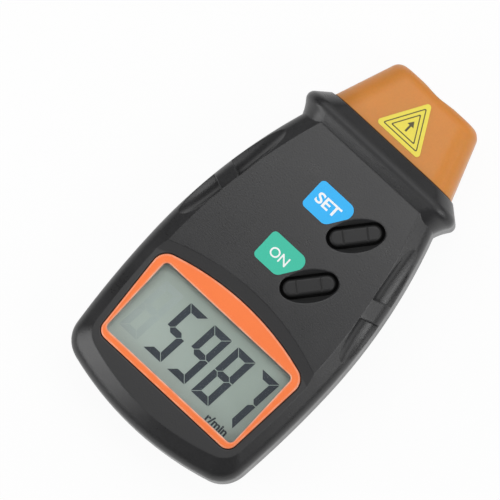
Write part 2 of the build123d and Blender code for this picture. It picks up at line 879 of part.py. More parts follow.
# Colour fields beside the keys: their right edge leans along the dish
for name, left, middle in (
    ("mem", upper_pad_left, upper_key_at + upper_pad_over_key),
    ("test", lower_pad_left, lower_key_at + lower_pad_over_key),
):
    with BuildPart() as pad:
        with BuildSketch(level(face_height)) as field_shape:
            with BuildLine():
                Polyline(
                    (left, middle - pad_height / 2),
                    (left + pad_low_width, middle - pad_height / 2),
                    (left + pad_width, middle + pad_shoulder),
                    (left + pad_width, middle + pad_height / 2),
                    (left, middle + pad_height / 2),
                    close=True,
                )
            make_face()
            at_left = field_shape.vertices().group_by(Axis.X)[0]
            at_right = field_shape.vertices().filter_by(lambda v: v not in at_left)
            fillet(at_right, pad_right_radius)
            fillet(field_shape.vertices().group_by(Axis.X)[0], pad_left_radius)
        extrude(amount=pad_thickness)
    pad.part.label = f"{name}_pad"
    export_step(pad.part, f"parts/{name}_pad.step")

# Triangle on the slope of the nose, as long as the nose leaves room for
nose_slope = (nose_end_high - nose_base_high) / (body_length - collar_end_at)
label_height = body_length - collar_end_at - label_gap - label_end_gap
label_base = Vector(0, collar_end_at + label_gap - half_length, nose_base_high + nose_slope * label_gap)
label_normal = Vector(0, -nose_slope, 1).normalized()
with BuildPart() as pointer_label:
    with BuildSketch(Plane(label_base, x_dir=(1, 0, 0), z_dir=label_normal)) as triangle:
        with BuildLine():
            Polyline((-label_half_width, 0), (label_half_width, 0), (0, label_height), close=True)
        make_face()
        fillet(triangle.vertices(), min(label_corner_radius, label_height / 4))
    extrude(amount=pad_thickness)
pointer_label.part.label = "pointer_label"
export_step(pointer_label.part, "parts/pointer_label.step")

# Lens tube with a shoulder for the lens
with BuildPart() as lens_tube:
    with BuildSketch(station(tube_back_at)):
        with Locations((0, axis_height)):
            Circle(tube_radius)
            Circle(tube_bore - lens_seat_step, mode=Mode.SUBTRACT)
    extrude(amount=tube_front_at - tube_back_at)
    with BuildSketch(station(lens_seat_at)):
        with Locations((0, axis_height)):
            Circle(tube_bore)
    extrude(amount=tube_front_at, mode=Mode.SUBTRACT)
lens_tube.part.label = "lens_tube"
export_step(lens_tube.part, "parts/lens_tube.step")

# Lens, round on both sides
lens_radius = tube_bore - lens_gap
with BuildPart() as objective_lens:
    with BuildSketch(Plane((0, lens_seat_at - half_length, axis_height), x_dir=(1, 0, 0), z_dir=(0, 0, 1))):
        with BuildLine():
            front = ThreePointArc(
                (0, lens_edge + lens_bulge),
                (lens_radius / 2, lens_edge + lens_arc_share * lens_bulge),
                (lens_radius, lens_edge),
            )
            Polyline(front @ 1, (lens_radius, 0), (0, 0), front @ 0)
        make_face()
    revolve(axis=Axis((0, 0, axis_height), (0, 1, 0)))
objective_lens.part.label = "objective_lens"
export_step(objective_lens.part, "parts/objective_lens.step")

with BuildPart() as lens_ring:
    with BuildSketch(station(lens_seat_at + lens_edge + ring_gap)):
        with Locations((0, axis_height)):
            Circle(tube_bore - lens_gap / 2)
            Circle(tube_bore - ring_width, mode=Mode.SUBTRACT)
    extrude(amount=ring_thickness)
lens_ring.part.label = "lens_ring"
export_step(lens_ring.part, "parts/lens_ring.step")

# Light grey block of the laser, low in the tube and round below where it lies on the wall
laser_back_at = lens_seat_at + lens_edge + ring_gap + ring_thickness + laser_gap
laser_x = -(laser_left + laser_right) / 2
laser_high = axis_height - laser_top_below_axis
with BuildPart() as laser_module:
    with BuildSketch(station(laser_back_at)) as block:
        with Locations((0, axis_height)):
            Circle(tube_bore - laser_gap)
        with Locations((laser_x, laser_high - tube_bore / 2)):
            Rectangle(laser_right - laser_left, tube_bore, mode=Mode.INTERSECT)
    extrude(amount=laser_length)
    with BuildSketch(station(laser_back_at + laser_length - laser_window_radius)):
        with Locations((laser_x, laser_high - 2 * laser_window_radius)):
            Circle(laser_window_radius)
    extrude(amount=laser_length, mode=Mode.SUBTRACT)
laser_module.part.label = "laser_module"
export_step(laser_module.part, "parts/laser_module.step")

# Battery lying across the case, its terminals towards +X
with BuildPart() as battery:
    with BuildSketch(level(battery_low)):
        with Locations(bay_middle):
            Rectangle(battery_length, battery_width)
    extrude(amount=battery_height)
    fillet(battery.edges().filter_by(Axis.X), battery_corner)
    terminal_face = Plane(
        (battery_right, bay_middle[1] - half_length, battery_low + battery_height / 2),
        x_dir=(0, 1, 0),
        z_dir=(1, 0, 0),
    )
    for hand, radius, sides in ((1, small_terminal_radius, 0), (-1, large_terminal_radius, 6)):
        with BuildSketch(terminal_face):
            with Locations((hand * terminal_spacing / 2, 0)):
                if sides:
                    RegularPolygon(radius, sides)
                else:
                    Circle(radius)
        extrude(amount=terminal_height)
battery.part.label = "battery"
export_step(battery.part, "parts/battery.step")

with BuildPart() as battery_snap:
    with BuildSketch(terminal_face.offset(terminal_height)):
        RectangleRounded(battery_width - 2 * battery_corner, snap_height, battery_corner)
    extrude(amount=snap_thickness)
battery_snap.part.label = "battery_snap"
export_step(battery_snap.part, "parts/battery_snap.step")

# Two leads from the top edge of the snap up to the underside of the board
lead_x = battery_right + terminal_height + snap_thickness / 2
lead_low = battery_low + (battery_height + snap_height) / 2
lead_step_height = (board_low - lead_low) / 3
with BuildPart() as battery_leads:
    for hand in (1, -1):
        y = bay_middle[1] - half_length + hand * lead_spacing / 2
        with BuildLine():
            route = FilletPolyline(
                (lead_x, y, lead_low),
                (lead_x, y, lead_low + lead_step_height),
                (lead_x, y - hand * lead_side_step, board_low - lead_step_height),
                (lead_x, y - hand * lead_side_step, board_low),
                radius=lead_bend,
            )
        with BuildSketch(Plane(route @ 0, z_dir=route % 0)):
            Circle(lead_radius)
        sweep(path=route)
battery_leads.part.label = "battery_leads"
export_step(battery_leads.part, "parts/battery_leads.step")

with BuildPart() as battery_foam:
    with BuildSketch(level(battery_high)):
        with Locations(bay_middle):
            Rectangle(foam_length, foam_width)
    extrude(amount=board_gap_over_battery)
battery_foam.part.label = "battery_foam"
export_step(battery_foam.part, "parts/battery_foam.step")

# Main board: wide below the display, narrower between the posts
with BuildPart() as main_board:
    with BuildSketch(level(board_low)) as board_shape:
        board_end_half_width = case_screw_places[2][0] - post_radius - board_post_gap
        for half, low, high in (
            (half_width - board_side_gap, board_low_at, board_step_at),
            (half_width - board_middle_inset, board_step_at - board_shape_overlap, board_shoulder_at),
            (board_end_half_width, board_shoulder_at - board_shape_overlap, board_end_at),
        ):
            with Locations((0, (low + high) / 2)):
                Rectangle(2 * half, high - low)
        fillet(board_shape.vertices().group_by(Axis.Y)[0], board_corner_radius)
        with Locations(board_screw_places):
            Circle(board_screw_radius + pane_gap, mode=Mode.SUBTRACT)
    extrude(amount=board_thickness)
main_board.part.label = "main_board"
export_step(main_board.part, "parts/main_board.step")

# Sensor board on end behind the lens tube, with its photodiode
with BuildPart() as sensor_board:
    with BuildSketch(station(board_end_at + sensor_board_gap)):
        with Locations((0, axis_height)):
            Rectangle(sensor_board_width, sensor_board_width)
    extrude(amount=sensor_board_thickness)
sensor_board.part.label = "sensor_board"
export_step(sensor_board.part, "parts/sensor_board.step")

with BuildPart() as photodiode:
    with BuildSketch(station(sensor_front_at)):
        with Locations((0, axis_height)):
            Circle(photodiode_radius)
    extrude(amount=photodiode_length)
    fillet(photodiode.faces().sort_by(Axis.Y)[-1].edges(), photodiode_dome)
photodiode.part.label = "photodiode"
export_step(photodiode.part, "parts/photodiode.step")

# Parts soldered under the main board
with BuildPart() as processor:
    with BuildSketch(level(board_low - processor_thickness)):
        with Locations(processor_place):
            RectangleRounded(processor_size, processor_size, switch_corner_radius)
    extrude(amount=processor_thickness)
processor.part.label = "processor"
export_step(processor.part, "parts/processor.step")

with BuildPart() as crystal:
    with BuildSketch(level(board_low - crystal_height)):
        with Locations(crystal_place):
            SlotOverall(crystal_length, crystal_width)
    extrude(amount=crystal_height)
crystal.part.label = "crystal"
export_step(crystal.part, "parts/crystal.step")

with BuildPart() as capacitors:
    add(round_posts(board_low - capacitor_height, board_low, capacitor_radius, capacitor_places))
capacitors.part.label = "capacitors"
export_step(capacitors.part, "parts/capacitors.step")

with BuildPart() as resistors:
    with BuildSketch(level(board_low - resistor_size[2])):
        with Locations(resistor_middle):
            with GridLocations(*resistor_pitch, resistor_columns, resistor_rows):
                Rectangle(resistor_size[0], resistor_size[1])
    extrude(amount=resistor_size[2])
resistors.part.label = "resistors"
export_step(resistors.part, "parts/resistors.step")


def screws(places, seat, radius, length, head_radius, head_height):
    """Pan head screws that point up, their heads below the seat."""
    with BuildPart() as group:
        for place in places:
            with BuildSketch(level(seat - head_height)):
                with Locations(place):
                    Circle(head_radius)
            extrude(amount=head_height)
            with BuildSketch(level(seat - head_height)):
                with Locations(place):
                    Rectangle(head_radius * slot_length_share, head_radius * slot_width_share)
                    Rectangle(head_radius * slot_width_share, head_radius * slot_length_share)
            extrude(amount=head_height * slot_depth_share, mode=Mode.SUBTRACT)
            with BuildSketch(level(seat)):
                with Locations(place):
                    Circle(radius)
            extrude(amount=length)
    return group.part


with BuildPart() as case_screws:
    add(screws(case_screw_places, case_screw_sink, pilot_radius - thread_gap, case_screw_length,
               case_screw_head, case_screw_head_height))
case_screws.part.label = "case_screws"
export_step(case_screws.part, "parts/case_screws.step")

with BuildPart() as board_screws:
    add(screws(board_screw_places, board_low, board_screw_radius - thread_gap, board_screw_length - head_gap,
               board_screw_head, board_screw_head_height))
board_screws.part.label = "board_screws"
export_step(board_screws.part, "parts/board_screws.step")
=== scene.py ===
"""Looks of the hand-held digital tachometer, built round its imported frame.

Blender units are metres in the frame's own axes: +Z up out of the face, +Y towards the nose.
Sizes and places here are in millimetres, apart from the lamps and the floor, which are in metres.
"""
from math import cos, pi, radians, sin, tan

import bpy
from mathutils import Matrix, Vector


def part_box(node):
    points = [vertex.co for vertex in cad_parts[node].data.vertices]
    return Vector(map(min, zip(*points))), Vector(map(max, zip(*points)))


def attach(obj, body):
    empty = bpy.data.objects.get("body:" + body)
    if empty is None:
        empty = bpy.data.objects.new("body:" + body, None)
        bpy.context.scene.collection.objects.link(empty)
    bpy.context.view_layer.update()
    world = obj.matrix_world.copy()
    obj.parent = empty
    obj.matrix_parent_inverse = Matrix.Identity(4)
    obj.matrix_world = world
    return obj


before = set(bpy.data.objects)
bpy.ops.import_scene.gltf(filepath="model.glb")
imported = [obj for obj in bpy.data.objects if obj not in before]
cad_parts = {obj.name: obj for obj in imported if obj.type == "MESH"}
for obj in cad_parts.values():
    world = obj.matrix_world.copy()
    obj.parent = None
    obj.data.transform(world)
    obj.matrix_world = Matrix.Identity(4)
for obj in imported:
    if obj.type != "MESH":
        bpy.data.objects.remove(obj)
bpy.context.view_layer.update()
MM = 0.001
HOUSING = "housing"
END_DISTANCE = 65.5  # from the bottom end of the case to the frame's origin


def add_object(name, data):
    new_object = bpy.data.objects.new(name, data)
    bpy.context.collection.objects.link(new_object)
    return new_object


# Camera: it stands over the face, leans a little to the object's right, and turns the nose up right
IMAGE_WIDTH = 500
SENSOR = 36.0
PIXELS_PER_MM = 3.4642
CAMERA_DISTANCE = 1500.0
LEAN_RIGHT = radians(5.44)
LEAN_UP = radians(-1.21)
ROLL = radians(42.98)
AIM = Vector((-9.37, -4.72, 26.3))
CLIP = (0.01, 10.0)


def add_camera():
    data = bpy.data.cameras.new("camera")
    data.sensor_width = SENSOR
    data.lens = PIXELS_PER_MM * CAMERA_DISTANCE * SENSOR / IMAGE_WIDTH
    data.clip_start, data.clip_end = CLIP
    back = Vector((sin(LEAN_RIGHT), sin(LEAN_UP), 1.0)).normalized()
    right = Vector((-sin(ROLL), cos(ROLL), 0.0)).cross(back).normalized()
    up = back.cross(right)
    turn = Matrix((right, up, back)).transposed().to_4x4()
    camera = add_object("camera", data)
    camera.matrix_world = Matrix.Translation((AIM + back * CAMERA_DISTANCE) * MM) @ turn
    bpy.context.scene.camera = camera


# Light: a wide soft panel over the nose end, and smaller ones that the slopes mirror.
# Each has its place, width, height, brightness and the place that it faces, in metres.
PANELS = {
    "overhead_panel": ((-0.13, 0.145, 0.42), 0.46, 0.26, 2.4, (-0.13, 0.145, 0)),
    "left_end_panel": ((-0.175, -0.22, 0.165), 0.27, 0.19, 3.4, (-0.175, 0.1, 0.165)),
    "right_panel": ((0.66, 0.22, 0.33), 0.6, 0.22, 2.2, (0, 0, 0)),
    "right_high_panel": ((0.30, 0.05, 0.34), 0.16, 0.20, 4.4, (0, 0, 0)),
    "nose_end_panel": ((-0.02, 0.34, 0.26), 0.55, 0.16, 0.8, (-0.02, 0.05, 0.025)),
}
WORLD_BRIGHTNESS = 0.20


def add_panel(name, place, width, height, brightness, aim):
    """Soft panel that faces a place; a brightness of 1 shows as white where it is mirrored."""
    data = bpy.data.lights.new(name, "AREA")
    data.shape = "RECTANGLE"
    data.size = width
    data.size_y = height
    data.energy = brightness * pi * width * height
    panel = add_object(name, data)
    panel.location = place
    panel.rotation_euler = (Vector(aim) - Vector(place)).to_track_quat("-Z", "Y").to_euler()


def add_lights():
    for name, panel in PANELS.items():
        add_panel(name, *panel)
    world = bpy.data.worlds.new("world")
    world.use_nodes = True
    background = world.node_tree.nodes["Background"]
    background.inputs["Color"].default_value = (1, 1, 1, 1)
    background.inputs["Strength"].default_value = WORLD_BRIGHTNESS
    bpy.context.scene.world = world


# Node helpers. A tree is the node tree of a material, which the nodes are added to
NOISE_ROUGHNESS = 0.6


def new_material(name):
    material = bpy.data.materials.new(name)
    material.use_nodes = True
    return material, material.node_tree, material.node_tree.nodes["Principled BSDF"]


def object_place(tree):
    """The point in the object's own axes, which are the frame's."""
    return tree.nodes.new("ShaderNodeTexCoord").outputs["Object"]


def object_axis(tree, axis):
    """One coordinate of the point in the object's own axes."""
    split = tree.nodes.new("ShaderNodeSeparateXYZ")
    tree.links.new(object_place(tree), split.inputs[0])
    return split.outputs[axis]


def object_noise(tree, scale, detail):
    noise = tree.nodes.new("ShaderNodeTexNoise")
    noise.inputs["Scale"].default_value = scale
    noise.inputs["Detail"].default_value = detail
    noise.inputs["Roughness"].default_value = NOISE_ROUGHNESS
    tree.links.new(object_place(tree), noise.inputs["Vector"])
    return noise.outputs["Fac"]


def math_node(tree, operation, first, second, third=None):
    node = tree.nodes.new("ShaderNodeMath")
    node.operation = operation
    for socket, value in zip(node.inputs, (first, second, third)):
        if isinstance(value, (int, float)):
            socket.default_value = value
        elif value is not None:
            tree.links.new(value, socket)
    return node.outputs[0]


def remap(tree, value, from_low, from_high, to_low, to_high):
    node = tree.nodes.new("ShaderNodeMapRange")
    numbers = {"From Min": from_low, "From Max": from_high, "To Min": to_low, "To Max": to_high}
    for socket, number in numbers.items():
        node.inputs[socket].default_value = number
    tree.links.new(value, node.inputs["Value"])
    return node.outputs["Result"]


def mix_color(tree, factor, first, second):
    node = tree.nodes.new("ShaderNodeMix")
    node.data_type = "RGBA"
    for index, value in ((6, first), (7, second)):
        if isinstance(value, tuple):
            node.inputs[index].default_value = (*value, 1)
        else:
            tree.links.new(value, node.inputs[index])
    tree.links.new(factor, node.inputs[0])
    return node.outputs[2]


def mix_shaders(tree, factor, first, second):
    mix = tree.nodes.new("ShaderNodeMixShader")
    tree.links.new(factor, mix.inputs["Fac"])
    tree.links.new(first.outputs[0], mix.inputs[1])
    tree.links.new(second.outputs[0], mix.inputs[2])
    tree.links.new(mix.outputs[0], tree.nodes["Material Output"].inputs["Surface"])


# Materials
SLOW_DETAIL, FINE_DETAIL, RUB_DETAIL = 4.0, 2.0, 3.0
SLOW_SHARE, FINE_SHARE = 0.55, 0.45  # of the two noises in the changes of colour and gloss
NOISE_RANGE = (0.32, 0.68)  # the part of the noise that is stretched to the full change
EDGE_RANGE = (0.995, 0.90)  # cosine between the rounded and the true face: flat, and fully an edge
EDGE_SAMPLES = 6
RUB_SCALE = 260.0
RUB_RANGE = (0.35, 0.65, 0.35, 1.0)  # the noise's range, and how much wear it leaves at each end
CLEAR_IOR = 1.49
HAZE_SCALE = 900.0
HAZE_RANGE = (0.6, 1.4)  # of the haze, as shares of its roughness


def wear_and_highlight_edge(tree, normal_socket, tone, lifted, amount, width):
    """Rounds the edges in the shading and blends a lighter colour in along them, as wear, and as a
    painted highlight where the lift is large.
    """
    soft = tree.nodes.new("ShaderNodeBevel")
    soft.samples = EDGE_SAMPLES
    soft.inputs["Radius"].default_value = width * MM
    tree.links.new(soft.outputs["Normal"], normal_socket)
    true_face = tree.nodes.new("ShaderNodeNewGeometry")
    near = tree.nodes.new("ShaderNodeVectorMath")
    near.operation = "DOT_PRODUCT"
    tree.links.new(soft.outputs["Normal"], near.inputs[0])
    tree.links.new(true_face.outputs["Normal"], near.inputs[1])
    turn = remap(tree, near.outputs["Value"], *EDGE_RANGE, 0.0, amount)
    rubbed = remap(tree, object_noise(tree, RUB_SCALE, RUB_DETAIL), *RUB_RANGE)
    return mix_color(tree, math_node(tree, "MULTIPLY", turn, rubbed), tone, lifted)


def textured(name, color, roughness=0.5, spread=0.2, grain=3000.0, bump=0.15, depth=0.03,
             broad=70.0, gloss_spread=0.12, edge=0.0, edge_width=0.35, edge_lift=0.0, **sockets):
    """Surface with fine grain, slow changes of colour and gloss, and soft edges lightened as wear,
    and as a painted highlight where the lift is large.

    The grain and the broad changes are given by their noise scales; the depth of the grain and the
    width of the edges are in millimetres; spreads are shares of the colour and of the roughness.
    """
    material, tree, shader = new_material(name)
    slow = math_node(tree, "MULTIPLY", object_noise(tree, broad, SLOW_DETAIL), SLOW_SHARE)
    fine = object_noise(tree, grain, FINE_DETAIL)
    both = math_node(tree, "MULTIPLY_ADD", fine, FINE_SHARE, slow)
    low = tuple(channel * (1 - spread) for channel in color)
    high = tuple(min(1.0, channel * (1 + spread)) for channel in color)
    tone = mix_color(tree, remap(tree, both, *NOISE_RANGE, 0.0, 1.0), low, high)
    gloss = remap(tree, both, *NOISE_RANGE, roughness * (1 - gloss_spread),
                  roughness * (1 + gloss_spread))
    lift = tree.nodes.new("ShaderNodeBump")
    lift.inputs["Strength"].default_value = bump
    lift.inputs["Distance"].default_value = depth * MM
    tree.links.new(fine, lift.inputs["Height"])
    if edge:
        lifted = tuple(min(1.0, channel + edge_lift) for channel in color)
        tone = wear_and_highlight_edge(tree, lift.inputs["Normal"], tone, lifted, edge, edge_width)
    tree.links.new(tone, shader.inputs["Base Color"])
    tree.links.new(gloss, shader.inputs["Roughness"])
    tree.links.new(lift.outputs["Normal"], shader.inputs["Normal"])
    for socket, value in sockets.items():
        shader.inputs[socket.replace("_", " ")].default_value = value
    return material


def clear_material(name, tint, roughness):
    """Clear plastic or glass with a faint haze, which lets light through to what lies under it."""
    material, tree, shader = new_material(name)
    shader.inputs["Base Color"].default_value = (*tint, 1)
    shader.inputs["Transmission Weight"].default_value = 1.0
    shader.inputs["IOR"].default_value = CLEAR_IOR
    haze = remap(tree, object_noise(tree, HAZE_SCALE, SLOW_DETAIL), 0.0, 1.0,
                 *(roughness * share for share in HAZE_RANGE))
    tree.links.new(haze, shader.inputs["Roughness"])
    path = tree.nodes.new("ShaderNodeLightPath")
    open_way = tree.nodes.new("ShaderNodeBsdfTransparent")
    open_way.inputs["Color"].default_value = (*tint, 1)
    mix_shaders(tree, path.outputs["Is Shadow Ray"], shader, open_way)
    return material


# Masks, which change a finished material over a part of its surface
def blend_in(material, mask, color, roughness):
    """Changes the colour and gloss of a finished material where a mask is 1."""
    tree = material.node_tree
    shader = tree.nodes["Principled BSDF"]
    tone = shader.inputs["Base Color"].links[0].from_socket
    gloss = shader.inputs["Roughness"].links[0].from_socket
    tree.links.new(mix_color(tree, mask, tone, color), shader.inputs["Base Color"])
    step = math_node(tree, "SUBTRACT", roughness, gloss)
    tree.links.new(math_node(tree, "MULTIPLY_ADD", mask, step, gloss), shader.inputs["Roughness"])


def ramp(material, axis, none, full):
    """Mask along an axis: 0 up to one place and 1 from the other, on whichever side it lies."""
    tree = material.node_tree
    return remap(tree, object_axis(tree, axis), none * MM, full * MM, 0.0, 1.0)


def near_key(material, distance):
    """Mask of the round area about a key, by its distance from the bottom end."""
    tree = material.node_tree
    across = math_node(tree, "SUBTRACT", object_axis(tree, "X"), KEY_X * MM)
    along = math_node(tree, "SUBTRACT", object_axis(tree, "Y"), (distance - END_DISTANCE) * MM)
    square = math_node(tree, "MULTIPLY", across, across)
    square = math_node(tree, "MULTIPLY_ADD", along, along, square)
    return math_node(tree, "LESS_THAN", square, (KEY_REACH * MM) ** 2)


def in_field(material):
    """Mask of the sunken field round the display."""
    tree = material.node_tree
    true_face = tree.nodes.new("ShaderNodeNewGeometry")
    split = tree.nodes.new("ShaderNodeSeparateXYZ")
    tree.links.new(true_face.outputs["Normal"], split.inputs[0])
    level = math_node(tree, "GREATER_THAN", split.outputs["Z"], LEVEL_COSINE)
    low = math_node(tree, "LESS_THAN", object_axis(tree, "Z"), FACE_HEIGHT * MM)
    end = math_node(tree, "LESS_THAN", object_axis(tree, "Y"), (FIELD_TOP - END_DISTANCE) * MM)
    return math_node(tree, "MULTIPLY", math_node(tree, "MULTIPLY", level, low), end)


# Case: satin black with a fine grain, duller on the collar's ridge, paler in the display's field,
# and with painted shade in the dishes round the keys
FACE_HEIGHT = 26.97
FIELD_TOP = 53.5
LEVEL_COSINE = 0.9
RIDGE_RISE = (28.3, 28.8)  # heights where the change begins and where it is full
KEY_X = 10.2
KEY_DISTANCES = (84.5, 64.76)
KEY_REACH = 9.8
DISH_SHADE_FALL = (26.8, 25.9)
case_black = textured("case_black", (0.018, 0.018, 0.019), roughness=0.33, spread=0.30,
                      grain=2000.0, bump=0.6, depth=0.05, gloss_spread=0.24,
                      edge=0.8, edge_width=0.6, edge_lift=0.03)
blend_in(case_black, in_field(case_black), (0.031, 0.031, 0.032), 0.36)
blend_in(case_black, ramp(case_black, "Z", *RIDGE_RISE), (0.019, 0.019, 0.020), 0.52)
# Painted shade: within a round area about each key the case goes near black and dull, from the
# dish's rim downwards
for key_distance in KEY_DISTANCES:
    dish_shade = math_node(case_black.node_tree, "MULTIPLY", near_key(case_black, key_distance),
                     ramp(case_black, "Z", *DISH_SHADE_FALL))
    blend_in(case_black, dish_shade, (0.003, 0.003, 0.003), 0.9)

# Keys: painted shade darkens their sides towards the gap, and a painted shadow makes them black
# from there down
KEY_SIDE_SHADE_FALL = (26.88, 26.55)
KEY_GAP_SHADOW_FALL = (25.9, 25.6)
key_black = textured("key_black", (0.014, 0.014, 0.0145), roughness=0.42, spread=0.25,
                     grain=2200.0, bump=0.25, edge=0.6, edge_lift=0.01, Specular_IOR_Level=0.36)
blend_in(key_black, ramp(key_black, "Z", *KEY_SIDE_SHADE_FALL), (0.004, 0.004, 0.004), 0.75)
blend_in(key_black, ramp(key_black, "Z", *KEY_GAP_SHADOW_FALL), (0.0005, 0.0005, 0.0005), 1.0)

# Nose: translucent orange with a painted shadow, a dark line where it comes out of the collar
COLLAR_SHADOW_LINE = (45.7, 45.4)
nose_orange = textured("nose_orange", (0.675, 0.258, 0.051), roughness=0.36, spread=0.05,
                       grain=1500.0, bump=0.05, edge=0.3, edge_width=1.2, edge_lift=0.04,
                       Specular_IOR_Level=0.32, Subsurface_Weight=0.35,
                       Subsurface_Radius=(0.006, 0.002, 0.0007), Subsurface_Scale=1.0)
blend_in(nose_orange, ramp(nose_orange, "Y", *COLLAR_SHADOW_LINE), (0.04, 0.015, 0.006), 0.7)

# Display: grey glass, with painted light that makes it paler towards its lower left corner
GLASS = dict(roughness=0.35, spread=0.05, grain=4000.0, bump=0.04, broad=35.0,
             Specular_IOR_Level=0.2)
PALE_SLANT = 0.5  # how much X counts beside Y along the change
PALE_FROM, PALE_TO = -62.5, -30.0
display_grey = textured("display_grey", (0.226, 0.266, 0.244), **GLASS)
glass_tree = display_grey.node_tree
aslant = math_node(glass_tree, "MULTIPLY_ADD", object_axis(glass_tree, "X"), PALE_SLANT,
                   object_axis(glass_tree, "Y"))
painted_light_mask = remap(glass_tree, aslant, PALE_FROM * MM, PALE_TO * MM, 1.0, 0.0)
blend_in(display_grey, painted_light_mask, (0.325, 0.370, 0.350), 0.35)
segment_dark = textured("segment_dark", (0.030, 0.036, 0.046), spread=0.06,
                        Specular_IOR_Level=0.05)
segment_faint = textured("segment_faint", (0.258, 0.300, 0.290), **GLASS)

# Bezel: the strong lightening along its rounded edges is a painted highlight, for the light line
# that they catch
bezel_orange = textured("bezel_orange", (1.0, 0.205, 0.043), roughness=0.36, spread=0.04,
                        grain=2500.0, bump=0.1, edge=1.0, edge_width=1.0, edge_lift=0.5)
PAD = dict(roughness=0.45, spread=0.05, grain=2500.0, bump=0.1)
pad_blue = textured("pad_blue", (0.015, 0.45, 0.93), **PAD)
pad_green = textured("pad_green", (0.035, 0.53, 0.365), **PAD)
label_yellow = textured("label_yellow", (0.85, 0.72, 0.064), roughness=0.42, spread=0.04,
                        grain=2500.0, bump=0.08)
print_white = textured("print_white", (0.92, 0.93, 0.93), spread=0.02)
line_dark = textured("line_dark", (0.085, 0.07, 0.02), spread=0.05)
tube_black = textured("tube_black", (0.010, 0.010, 0.010))
laser_grey = textured("laser_grey", (0.55, 0.57, 0.60), roughness=0.4, spread=0.08)
board_green = textured("board_green", (0.02, 0.16, 0.06), roughness=0.4, spread=0.15)
white_plastic = textured("white_plastic", (0.62, 0.62, 0.60), spread=0.05)
dull_black = textured("dull_black", (0.02, 0.02, 0.02), roughness=0.55)
steel = textured("steel", (0.55, 0.55, 0.56), roughness=0.3, spread=0.1, grain=1800.0, bump=0.1,
                 Metallic=1.0)
jacket = textured("jacket", (0.07, 0.08, 0.10), roughness=0.3, spread=0.1)
lead_red = textured("lead_red", (0.42, 0.02, 0.02), spread=0.08)
pane_clear = clear_material("pane_clear", (0.97, 0.98, 0.97), 0.03)
lens_clear = clear_material("lens_clear", (0.85, 0.90, 0.88), 0.01)

NODE_MATERIALS = (
    (case_black, ("front_cover", "rear_cover", "battery_cover")),
    (nose_orange, ("optical_nose",)),
    (bezel_orange, ("display_bezel",)),
    (display_grey, ("lcd_panel",)),
    (pane_clear, ("display_window",)),
    (key_black, ("mem_button", "test_button")),
    (pad_blue, ("mem_pad",)),
    (pad_green, ("test_pad",)),
    (label_yellow, ("pointer_label",)),
    (lens_clear, ("objective_lens", "photodiode")),
    (tube_black, ("lens_tube", "lens_ring")),
    (laser_grey, ("laser_module",)),
    (board_green, ("main_board", "sensor_board")),
    (white_plastic, ("lcd_frame", "contact_strips")),
    (dull_black, ("mem_switch", "test_switch", "mem_plunger", "test_plunger", "processor",
                  "resistors", "capacitors", "battery_snap", "battery_foam")),
    (steel, ("crystal", "case_screws", "board_screws")),
    (jacket, ("battery",)),
    (lead_red, ("battery_leads",)),
)
for material, names in NODE_MATERIALS:
    for name in names:
        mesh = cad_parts[name].data
        mesh.materials.clear()
        mesh.materials.append(material)


# Print: thin closed shapes that lie just over a surface, all on pieces of the housing
PRINT_THICKNESS = 0.03
PRINT_LIFT = 0.01


def print_on_housing(piece):
    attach(piece, HOUSING)


def add_shapes(name, outlines, plane, material):
    """Closed prisms over outlines in a plane, in millimetres."""
    vertices = []
    faces = []
    for outline in outlines:
        first = len(vertices)
        count = len(outline)
        for height in (0, PRINT_THICKNESS):
            vertices += [plane @ (Vector((x, y, height)) * MM) for x, y in outline]
        faces.append(tuple(first + count + i for i in range(count)))
        faces.append(tuple(first + i for i in reversed(range(count))))
        for i in range(count):
            after = (i + 1) % count
            faces.append((first + i, first + after, first + count + after, first + count + i))
    mesh = bpy.data.meshes.new(name)
    mesh.from_pydata(vertices, [], faces)
    mesh.materials.append(material)
    print_on_housing(add_object(name, mesh))


# Display digits: seven slanted bars each, placed by their left edges. The ghost is a place that
# isn't lit, and shows faintly
DIGIT_BARS = {"5": "acdfg", "9": "abcdfg", "8": "abcdefg", "7": "abc"}
DIGITS = ((-13.3, "5"), (-3.9, "9"), (5.5, "8"), (14.9, "7"))
GHOST_LEFT = -22.9
DIGIT_LOW = 19.4
DIGIT_HEIGHT = 18.65
DIGIT_WIDTH = 6.9
DIGIT_SLANT = tan(radians(5.0))
BAR = 2.1
BAR_GAP = 0.14


def digit_outlines(left, bars):
    """Outlines of some bars of one digit."""
    w, h, b, g = DIGIT_WIDTH, DIGIT_HEIGHT, BAR, BAR_GAP
    half = h / 2
    shapes = {
        "a": [(g, h), (w - g, h), (w - b - g, h - b), (b + g, h - b)],
        "d": [(g, 0), (b + g, b), (w - b - g, b), (w - g, 0)],
        "b": [(w, h - g), (w, half + g), (w - b / 2, half + g), (w - b, half + b / 2 + g),
              (w - b, h - b - g)],
        "c": [(w, g), (w - b, b + g), (w - b, half - b / 2 - g), (w - b / 2, half - g),
              (w, half - g)],
        "f": [(0, h - g), (b, h - b - g), (b, half + b / 2 + g), (b / 2, half + g), (0, half + g)],
        "e": [(0, g), (0, half - g), (b / 2, half - g), (b, half - b / 2 - g), (b, b + g)],
        "g": [(b / 2 + g, half), (b + g, half + b / 2), (w - b - g, half + b / 2),
              (w - b / 2 - g, half), (w - b - g, half - b / 2), (b + g, half - b / 2)],
    }
    return [[(left + x + y * DIGIT_SLANT, DIGIT_LOW + y) for x, y in shapes[bar]] for bar in bars]


glass_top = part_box("lcd_panel")[1][2] / MM + PRINT_LIFT
glass_plane = Matrix.Translation((0, -END_DISTANCE * MM, glass_top * MM))
lit = [outline for left, digit in DIGITS for outline in digit_outlines(left, DIGIT_BARS[digit])]
ghost = digit_outlines(GHOST_LEFT, DIGIT_BARS["8"])
add_shapes("display_ghost", ghost, glass_plane, segment_faint)
add_shapes("display_digits", lit, glass_plane, segment_dark)


